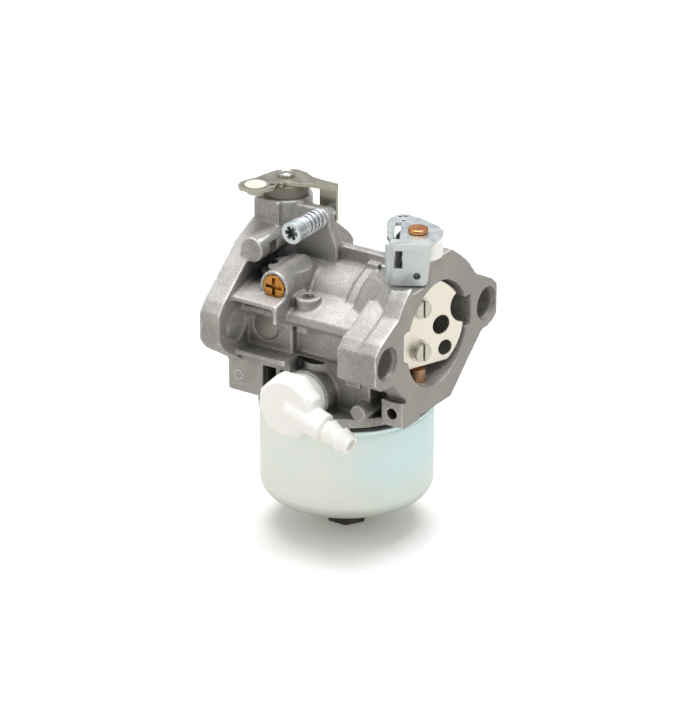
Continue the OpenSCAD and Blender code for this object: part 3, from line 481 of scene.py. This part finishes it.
def coil_tree():
    """Geometry nodes that draw a coil of wire along Z with one closed turn at each end."""
    tree = bpy.data.node_groups.new("Coil spring", "GeometryNodeTree")
    for label, kind in (("Coil radius", "NodeSocketFloat"), ("Wire radius", "NodeSocketFloat"),
                        ("Length", "NodeSocketFloat"), ("Turns", "NodeSocketFloat"),
                        ("Wire", "NodeSocketMaterial")):
        tree.interface.new_socket(name=label, in_out="INPUT", socket_type=kind)
    tree.interface.new_socket(name="Geometry", in_out="OUTPUT", socket_type="NodeSocketGeometry")
    gi = tree.nodes.new("NodeGroupInput")
    go = tree.nodes.new("NodeGroupOutput")
    link_to = tree.links.new

    def spiral(turns, height, resolution):
        node = tree.nodes.new("GeometryNodeCurveSpiral")
        node.inputs["Resolution"].default_value = resolution
        for label in ("Start Radius", "End Radius"):
            link_to(gi.outputs["Coil radius"], node.inputs[label])
        for value, label in ((turns, "Rotations"), (height, "Height")):
            if isinstance(value, (int, float)):
                node.inputs[label].default_value = value
            else:
                link_to(value, node.inputs[label])
        return node.outputs["Curve"]

    def lifted(curve, height):
        move = tree.nodes.new("GeometryNodeTransform")
        offset = tree.nodes.new("ShaderNodeCombineXYZ")
        link_to(height, offset.inputs["Z"])
        link_to(curve, move.inputs["Geometry"])
        link_to(offset.outputs["Vector"], move.inputs["Translation"])
        return move.outputs["Geometry"]

    wire = gi.outputs["Wire radius"]
    end_rise = math_node(tree, "MULTIPLY", wire, 2.0)
    middle_start = math_node(tree, "MULTIPLY", wire, 3.0)
    both_ends = math_node(tree, "MULTIPLY", wire, 6.0)
    middle_rise = math_node(tree, "SUBTRACT", gi.outputs["Length"], both_ends)
    top_start = math_node(tree, "ADD", middle_start, middle_rise)
    ends = tree.nodes.new("GeometryNodeJoinGeometry")
    link_to(lifted(spiral(1.0, end_rise, 36), wire), ends.inputs["Geometry"])
    link_to(lifted(spiral(gi.outputs["Turns"], middle_rise, 40), middle_start), ends.inputs["Geometry"])
    link_to(lifted(spiral(1.0, end_rise, 36), top_start), ends.inputs["Geometry"])
    section = tree.nodes.new("GeometryNodeCurvePrimitiveCircle")
    section.inputs["Resolution"].default_value = 12
    link_to(wire, section.inputs["Radius"])
    tube = tree.nodes.new("GeometryNodeCurveToMesh")
    tube.inputs["Fill Caps"].default_value = True
    link_to(ends.outputs["Geometry"], tube.inputs["Curve"])
    link_to(section.outputs["Curve"], tube.inputs["Profile Curve"])
    real = tree.nodes.new("GeometryNodeRealizeInstances")
    link_to(tube.outputs["Mesh"], real.inputs["Geometry"])
    paint = tree.nodes.new("GeometryNodeSetMaterial")
    link_to(real.outputs["Geometry"], paint.inputs["Geometry"])
    link_to(gi.outputs["Wire"], paint.inputs["Material"])
    link_to(paint.outputs["Geometry"], go.inputs["Geometry"])
    return tree


COIL = coil_tree()


def set_inputs(modifier, values):
    for item in modifier.node_group.interface.items_tree:
        if getattr(item, "in_out", "") == "INPUT" and item.name in values:
            modifier[item.identifier] = values[item.name]


def coil_of_wire(name, slot, sizes, place):
    """A coil in place: sizes are coil radius, wire radius and length in metres, then turns."""
    piece = link(bpy.data.objects.new(name, bpy.data.meshes.new(name)))
    coil = piece.modifiers.new("coil", "NODES")
    coil.node_group = COIL
    labels = ("Coil radius", "Wire radius", "Length", "Turns")
    set_inputs(coil, {**dict(zip(labels, sizes)), "Wire": MATERIALS[slot]})
    evaluated(piece)
    piece.data.transform(place)
    smooth_faces(piece.data, 60)
    return piece


def spring(node, name, wire, turns, along):
    """Replaces a CAD spring: along is 'Y' for one that lies towards -Y, or 'Z'."""
    low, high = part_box(node)
    centre = (low + high) / 2
    size = high - low
    if along == "Y":
        place = (Matrix.Translation((centre.x, high.y, centre.z))
                 @ Matrix.Rotation(math.radians(90), 4, "X"))
    else:
        place = Matrix.Translation((centre.x, centre.y, low.z))
    length = size.y if along == "Y" else size.z
    sizes = (size.x / 2 - wire, wire, length, float(turns))
    return dress(coil_of_wire(name, slot_of_node[node], sizes, place), node)


# ---------------------------------------------------------------- main pieces


def casting():
    """The die-cast body, with its two flange faces milled flat."""
    return rounded_copy("body_casting", "carburetor_body", 0.4 * MM, 4, flat_ends=True)


def elbow():
    return rounded_copy("fuel_elbow", "fuel_elbow_moulding", 0.26 * MM, 4, most_triangles=120000)


def bowl():
    """Deep-drawn cup with a bead round its rim, a soft lower corner and a dish round the bolt."""
    low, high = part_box("float_bowl")
    centre = (low + high) / 2 / MM
    r = (high.x - low.x) / 2 / MM
    top, bottom = high.z / MM, low.z / MM
    wall, corner, bead = 0.9, 5.0, 0.4
    bolt_hole = 3.5
    side = r - bead
    outside = [(r - 0.25, top), (r, top - 0.25), (r, top - 1.2)]
    outside += arc(side + 0.02, top - 1.7, bead - 0.02, 50, -40, 4)
    outside += [(side, z) for z in (top - 2.6, top - 9, top - 17)]
    outside += arc(side - corner, bottom + corner, corner, 0, -90, 14)
    outside += [(12.5, bottom), (11.6, bottom + 0.25), (bolt_hole, bottom + 0.25)]
    inside = [(bolt_hole, bottom + wall)]
    inside += arc(side - corner, bottom + corner, corner - wall, -90, 0, 12)
    inside += [(side - wall, top)]
    return dress(turned("float_bowl_cup", outside + inside, centre.x, centre.y), "float_bowl")


def ejector_ring():
    """Raised ring that a mould's pin leaves on the skirt plate."""
    on_skirt = Vector((5.6, -24.2, -17.5)) * MM
    bpy.ops.mesh.primitive_torus_add(major_radius=1.4 * MM, minor_radius=0.22 * MM,
                                     major_segments=40, minor_segments=10)
    ring = bpy.context.object
    ring.name = "ejector_ring"
    ring.data.transform(Matrix.Translation(on_skirt) @ Matrix.Rotation(math.radians(90), 4, "X"))
    smooth_faces(ring.data, 60)
    added(ring, "carburetor", "die_cast")


def added(piece, body, slot):
    """Gives a piece that stands for no CAD node its body, slot and material."""
    piece.data.materials.clear()
    piece.data.materials.append(MATERIALS[slot])
    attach(piece, body)


def idle_thread():
    """Thread on the idle speed screw's shank, from its head to its tip."""
    low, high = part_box("idle_speed_screw")
    centre = (low + high) / 2
    head_length, tip_gap = 3.6, 0.3
    length = high.y - low.y - (head_length + 0.5) * MM
    place = (Matrix.Translation((centre.x, high.y - tip_gap * MM, centre.z))
             @ Matrix.Rotation(math.radians(90), 4, "X"))
    thread = coil_of_wire("idle_screw_thread", "screw_steel", (1.78 * MM, 0.2 * MM, length, 22.0),
                          place)
    added(thread, "idle_screw", "screw_steel")


def choke_hook_spring():
    """Small black spring that stands behind the window in the choke lever's flap."""
    low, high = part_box("choke_shaft")
    axis_x, top = (low.x + high.x) / 2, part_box("choke_lever")[1].z - 1.3 * MM
    flap_turn, length = math.radians(30), 6.9 * MM
    behind_window = Vector((-5.35, -7.35, 0)) * MM
    offset = Matrix.Rotation(flap_turn, 4, "Z") @ behind_window
    place = Matrix.Translation((axis_x + offset.x, offset.y, top - length))
    coil = coil_of_wire("choke_hook_spring", "black_wire", (0.76 * MM, 0.24 * MM, length, 8.0), place)
    added(coil, "choke", "black_wire")


casting()
elbow()
bowl()
ejector_ring()
idle_thread()
choke_hook_spring()
spring("idle_speed_spring", "idle_spring_coil", 0.46 * MM, 4, "Y")
spring("choke_spring", "choke_spring_coil", 0.28 * MM, 5, "Z")
spring("mixture_screw_spring", "mixture_spring_coil", 0.3 * MM, 1.5, "Y")

# Width in millimetres of the broken edge on each small part
BEVELS = {
    "throttle_lever": 0.22, "throttle_lever_pad": 0.3, "choke_lever": 0.25, "choke_rivet": 0.5,
    "choke_plate": 0.15, "throttle_dust_seal": 0.3, "choke_spring_housing": 0.2,
    "bowl_bolt": 0.4, "mixture_screw": 0.25, "idle_speed_screw": 0.3, "idle_screw_washer": 0.12,
    "throttle_lever_screw": 0.25, "choke_plate_screws": 0.25, "throttle_plate_screws": 0.25,
    "welch_plugs": 0.35, "passage_plugs": 0.15,
}
for node, width in BEVELS.items():
    broken_edges(node, width * MM)
for node, obj in nodes.items():
    if not obj.hide_render:
        obj.data.materials.clear()
        obj.data.materials.append(MATERIALS[slot_of_node[node]])


# ---------------------------------------------------------------- stage, light and camera


def pale_floor():
    """White table that throws less light back up at the object than the camera sees on it."""
    f = Finish("pale_floor", (0.93, 0.93, 0.93), 0.9)
    seen = f.tree.nodes.new("ShaderNodeLightPath").outputs["Is Camera Ray"]
    f.mix_colour(math_node(f.tree, "SUBTRACT", 1.0, seen), (0.50, 0.49, 0.46))
    f.bsdf.inputs["Emission Color"].default_value = (1.0, 0.96, 0.84, 1.0)
    f.bsdf.inputs["Emission Strength"].default_value = 0.08
    return f.mat


def studio():
    table_z = cad_box[0][2]
    floor = link(bpy.data.objects.new("floor", bpy.data.meshes.new("floor")))
    bm = bmesh.new()
    bmesh.ops.create_grid(bm, x_segments=1, y_segments=1, size=3.0)
    bmesh.ops.translate(bm, verts=bm.verts, vec=(0, 0, table_z))
    bm.to_mesh(floor.data)
    bm.free()
    floor.data.materials.append(pale_floor())
    studio_walls()


def studio_walls():
    """Light from all round: bright overhead, greyer towards the horizon."""
    world = bpy.data.worlds.new("studio")
    bpy.context.scene.world = world
    world.use_nodes = True
    tree = world.node_tree
    direction = tree.nodes.new("ShaderNodeSeparateXYZ")
    tree.links.new(tree.nodes.new("ShaderNodeTexCoord").outputs["Generated"], direction.inputs["Vector"])
    shade = tree.nodes.new("ShaderNodeMapRange")
    shade.interpolation_type = "SMOOTHSTEP"
    shade.inputs["From Min"].default_value = -0.1
    shade.inputs["From Max"].default_value = 0.9
    shade.inputs["To Min"].default_value = 0.12
    shade.inputs["To Max"].default_value = 0.85
    tree.links.new(direction.outputs["Z"], shade.inputs["Value"])
    tree.links.new(shade.outputs["Result"], tree.nodes["Background"].inputs["Color"])


def softbox(name, place, aim, size, power):
    lamp = bpy.data.lights.new(name, "AREA")
    lamp.shape = "RECTANGLE"
    lamp.size, lamp.size_y = size
    lamp.energy = power
    obj = link(bpy.data.objects.new(name, lamp))
    obj.location = place
    obj.rotation_euler = (Vector(aim) - Vector(place)).to_track_quat("-Z", "Y").to_euler()


def overhead(strength):
    """A very wide soft lamp above and a little behind."""
    lamp = bpy.data.lights.new("overhead", "SUN")
    lamp.energy = strength
    lamp.angle = math.radians(46)
    obj = link(bpy.data.objects.new("overhead", lamp))
    obj.rotation_euler = Vector((0.07, -0.14, -1.0)).to_track_quat("-Z", "Y").to_euler()


def camera():
    azimuth, elevation, distance = math.radians(33.5), math.radians(24.0), 1.5
    frame_width = 0.2033
    target = Vector((25.8, 0.0, -16.9)) * MM
    back = Vector((math.sin(azimuth) * math.cos(elevation), -math.cos(azimuth) * math.cos(elevation),
                   math.sin(elevation)))
    cam = bpy.data.cameras.new("camera")
    cam.sensor_fit = "HORIZONTAL"
    cam.sensor_width = 36.0
    cam.lens = 36.0 * distance / frame_width
    cam.clip_end = 20.0
    obj = link(bpy.data.objects.new("camera", cam))
    obj.location = target + back * distance
    obj.rotation_euler = (-back).to_track_quat("-Z", "Y").to_euler()
    bpy.context.scene.camera = obj


studio()
middle = (Vector(cad_box[0]) + Vector(cad_box[1])) / 2
overhead(3.1)
softbox("front_left", (-0.55, -0.75, 0.35), middle, (0.45, 0.6), 0.9)
softbox("front_right", (0.75, -0.25, 0.25), middle, (0.35, 0.5), 0.5)
camera()
bpy.context.scene.view_settings.view_transform = "Standard"
